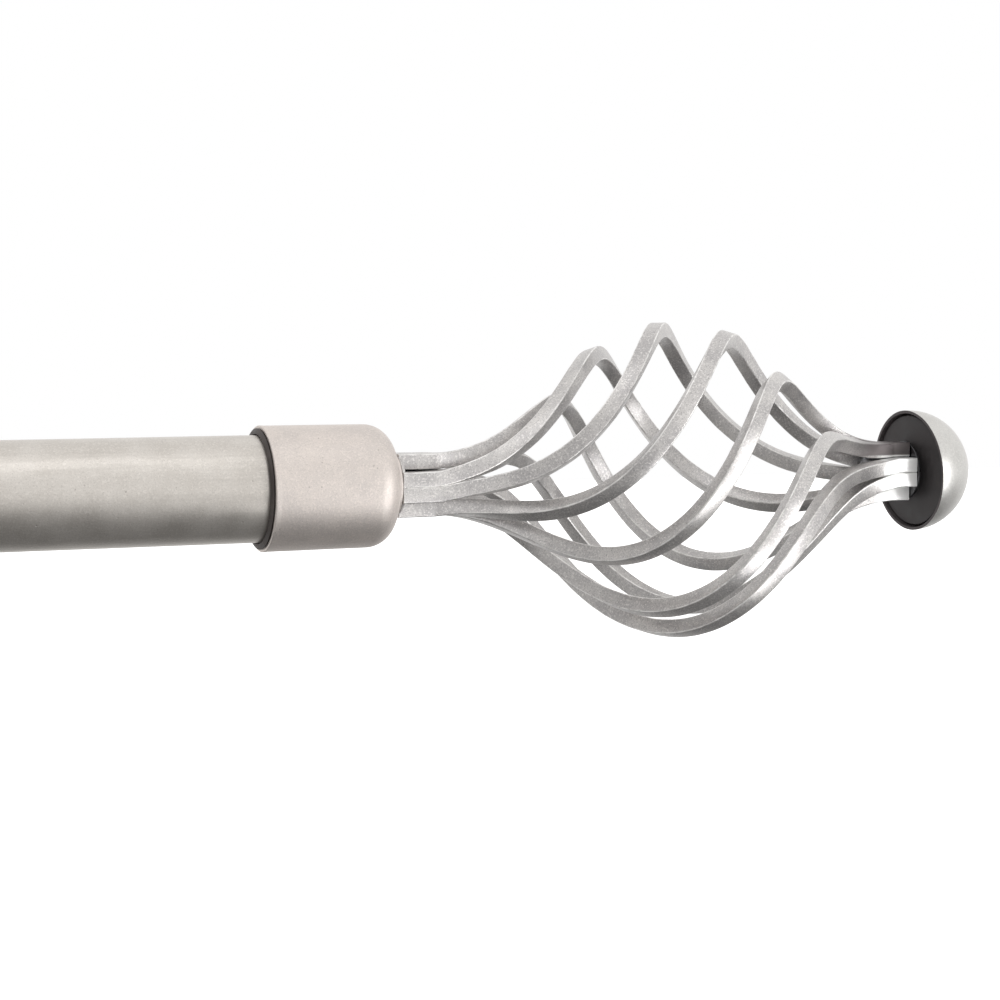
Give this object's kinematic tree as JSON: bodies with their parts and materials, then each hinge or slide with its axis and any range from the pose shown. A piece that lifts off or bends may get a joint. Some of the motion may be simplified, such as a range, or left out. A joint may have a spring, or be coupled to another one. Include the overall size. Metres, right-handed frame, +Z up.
{
  "type": "curtain pole finial",
  "caption": "Satin silver curtain pole end with a collar and a twisted square-bar cage finial that closes in a half-ball cap.",
  "frame": {"origin": "centre of the pole's cut end, on the pole's axis", "axes": "+X along the pole towards the finial's tip, +Z up, -Y towards the side that is seen and +Y towards the wall, where the grub screw is"},
  "size_m": [0.2877, 0.087, 0.0858],
  "materials": {
    "satin_pole": "satin silver lacquer over steel tube",
    "satin_collar": "satin silver lacquer, fine speckle and small pits",
    "satin_bars": "satin silver lacquer over square steel bar, brighter bare ends",
    "satin_dome": "satin silver outside, dark inside",
    "black_nylon": "moulded black nylon",
    "zinc_steel": "bright zinc plate"
  },
  "bodies": {
    "pole": {"pole_tube": "satin_pole"},
    "sleeve": {"grip_sleeve": "black_nylon"},
    "finial": {"collar_cup": "satin_collar", "neck_washer": "satin_collar", "core_stud": "zinc_steel", "inner_washer": "zinc_steel", "spring_washer": "zinc_steel", "stud_nut": "zinc_steel", "cage_bar_1": "satin_bars", "cage_bar_2": "satin_bars", "cage_bar_3": "satin_bars", "cage_bar_4": "satin_bars", "cage_bar_5": "satin_bars", "cage_bar_6": "satin_bars", "cage_bar_7": "satin_bars", "cage_bar_8": "satin_bars", "tip_stud": "zinc_steel", "tip_washer": "zinc_steel", "dome_insert": "black_nylon", "tip_nut": "zinc_steel", "dome_cap": "satin_dome"},
    "grub": {"grub_screw": "zinc_steel"}
  },
  "joints": [
    {"name": "finial_pull_off", "type": "slide", "parent": "pole", "child": "sleeve", "axis": [1, 0, 0], "range_m": [0, 0.03]},
    {"name": "finial_turn", "type": "hinge", "parent": "sleeve", "child": "finial", "pos_m": [0.079, 0, 0], "axis": [1, 0, 0], "continuous": true},
    {"name": "grub_screw_travel", "type": "slide", "parent": "finial", "child": "grub", "axis": [0, 1, 0], "range_m": [0, 0.002]}
  ]
}
